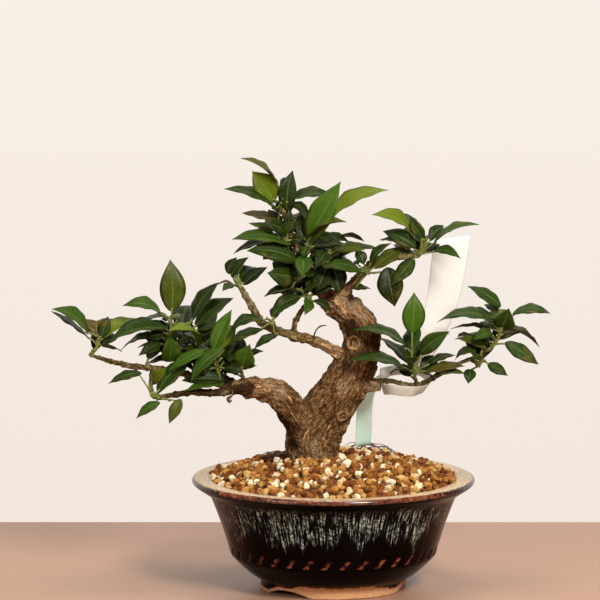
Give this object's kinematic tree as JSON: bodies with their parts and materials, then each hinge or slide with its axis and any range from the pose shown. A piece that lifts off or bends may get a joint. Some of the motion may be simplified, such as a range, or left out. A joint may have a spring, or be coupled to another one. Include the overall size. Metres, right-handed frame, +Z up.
{
  "type": "mandarin orange bonsai",
  "caption": "Small trained citrus tree with a leaning forked trunk and glossy leaf sprays, in granular soil in a round glazed footed pot, with a blank label looped on a twig.",
  "frame": {"origin": "On the ground, under the middle of the whole tree's bounding box. The pot's axis is 24 mm towards +X from it.", "axes": "+Z up; +X to the viewer's right as the tree faces its viewer, from the long left limb towards the label; +Y away from the viewer. The front is -Y."},
  "size_m": [0.3382, 0.19, 0.2896],
  "materials": {
    "glazed_stoneware": "glossy near-black brown glaze with pale blue streaks under a rust lip, raw clay on the foot",
    "screen_net": "black moulded net",
    "soil_granules": "dry porous granules in ochre, rust and cream",
    "bark": "fissured grey-brown bark, tan on the young wood",
    "leaf": "waxy green leaves with paler midribs on green stems",
    "label_plastic": "smooth blank white plastic, pale green on its reverse"
  },
  "bodies": {
    "root": {"pot": "glazed_stoneware", "drain_screen": "screen_net", "soil": "soil_granules", "trunk": "bark", "label": "label_plastic", "far_left_spray": "leaf", "left_outer_spray": "leaf", "left_middle_spray": "leaf", "left_front_spray": "leaf", "left_low_spray": "leaf", "left_inner_spray": "leaf", "left_back_spray": "leaf", "middle_spray": "leaf", "middle_low_spray": "leaf", "riser_spray": "leaf", "apex_spray": "leaf", "crown_left_spray": "leaf", "crown_right_spray": "leaf", "crown_low_spray": "leaf", "crown_centre_spray": "leaf", "crown_back_spray": "leaf", "shoulder_spray": "leaf", "right_upper_spray": "leaf", "right_near_spray": "leaf", "right_middle_spray": "leaf", "far_right_spray": "leaf"}
  },
  "joints": []
}
